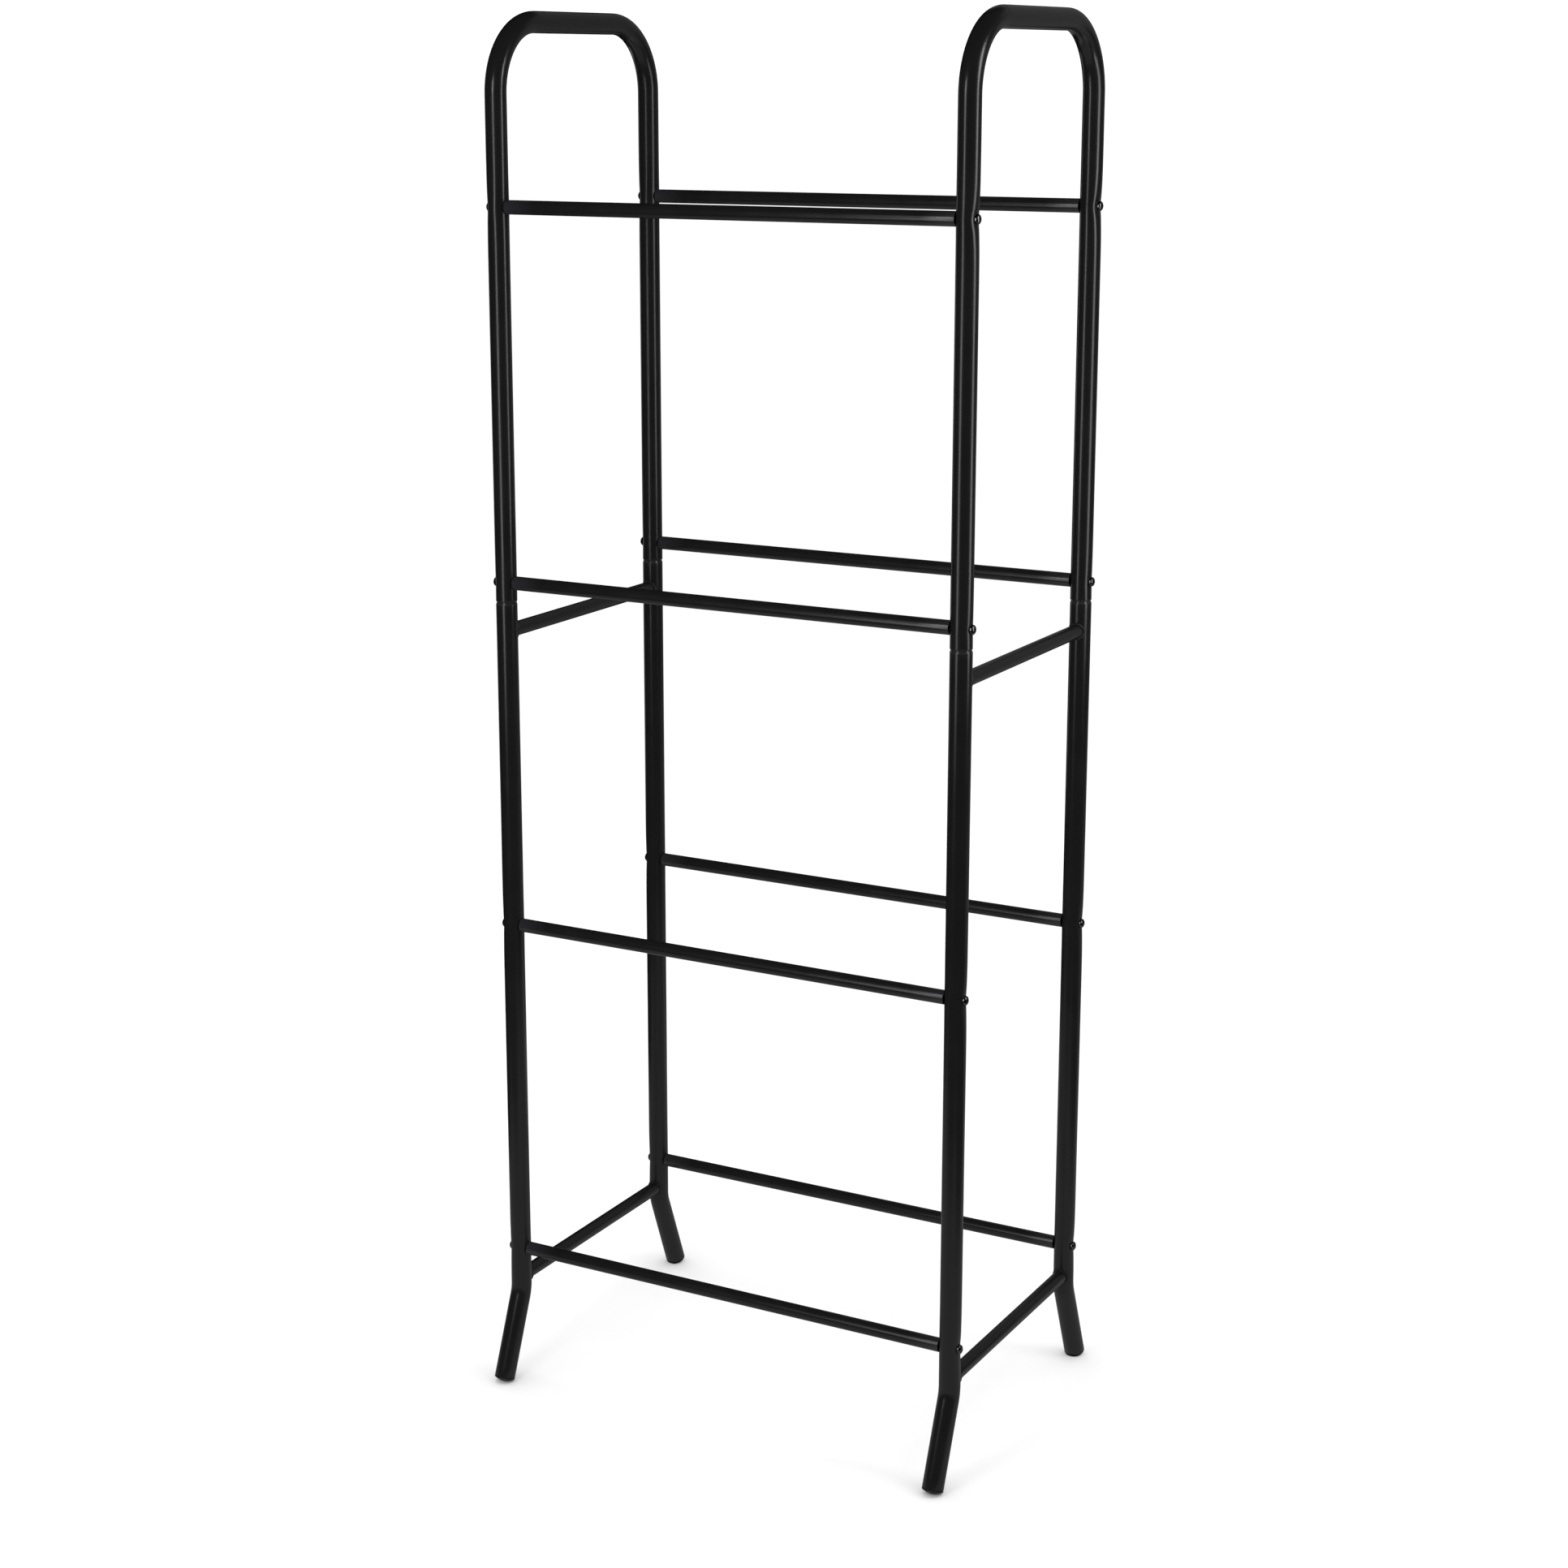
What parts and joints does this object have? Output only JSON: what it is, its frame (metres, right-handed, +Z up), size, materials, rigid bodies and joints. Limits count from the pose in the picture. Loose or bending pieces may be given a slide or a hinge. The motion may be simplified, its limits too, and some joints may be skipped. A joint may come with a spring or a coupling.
{
  "type": "over-toilet storage rack frame",
  "caption": "Tall free-standing rack frame of black round steel tube: two side frames with arched tops and splayed feet, joined by level rails.",
  "frame": {"origin": "on the floor, under the centre of the frame", "axes": "+X right, +Y to the rear, +Z up"},
  "size_m": [0.6174, 0.4368, 1.6425],
  "materials": {
    "tube_steel": "semi-gloss black powder coat on welded steel tube",
    "plug_plastic": "black moulded polyethylene",
    "screw_steel": "black zinc plated steel",
    "insert_steel": "black zinc plated steel"
  },
  "bodies": {
    "root": {"left_upper_hoop": "tube_steel", "left_upper_strut": "tube_steel", "left_lower_strut": "tube_steel", "left_front_leg": "tube_steel", "left_front_foot_plug": "plug_plastic", "left_rear_leg": "tube_steel", "left_rear_foot_plug": "plug_plastic", "right_upper_hoop": "tube_steel", "right_upper_strut": "tube_steel", "right_lower_strut": "tube_steel", "right_front_leg": "tube_steel", "right_front_foot_plug": "plug_plastic", "right_rear_leg": "tube_steel", "right_rear_foot_plug": "plug_plastic", "front_rail_1": "tube_steel", "left_front_insert_1": "insert_steel", "left_front_screw_1": "screw_steel", "right_front_insert_1": "insert_steel", "right_front_screw_1": "screw_steel", "rear_rail_1": "tube_steel", "left_rear_insert_1": "insert_steel", "left_rear_screw_1": "screw_steel", "right_rear_insert_1": "insert_steel", "right_rear_screw_1": "screw_steel", "front_rail_2": "tube_steel", "left_front_insert_2": "insert_steel", "left_front_screw_2": "screw_steel", "right_front_insert_2": "insert_steel", "right_front_screw_2": "screw_steel", "rear_rail_2": "tube_steel", "left_rear_insert_2": "insert_steel", "left_rear_screw_2": "screw_steel", "right_rear_insert_2": "insert_steel", "right_rear_screw_2": "screw_steel", "front_rail_3": "tube_steel", "left_front_insert_3": "insert_steel", "left_front_screw_3": "screw_steel", "right_front_insert_3": "insert_steel", "right_front_screw_3": "screw_steel", "rear_rail_3": "tube_steel", "left_rear_insert_3": "insert_steel", "left_rear_screw_3": "screw_steel", "right_rear_insert_3": "insert_steel", "right_rear_screw_3": "screw_steel", "front_rail_4": "tube_steel", "left_front_insert_4": "insert_steel", "left_front_screw_4": "screw_steel", "right_front_insert_4": "insert_steel", "right_front_screw_4": "screw_steel", "rear_rail_4": "tube_steel", "left_rear_insert_4": "insert_steel", "left_rear_screw_4": "screw_steel", "right_rear_insert_4": "insert_steel", "right_rear_screw_4": "screw_steel"}
  },
  "joints": []
}
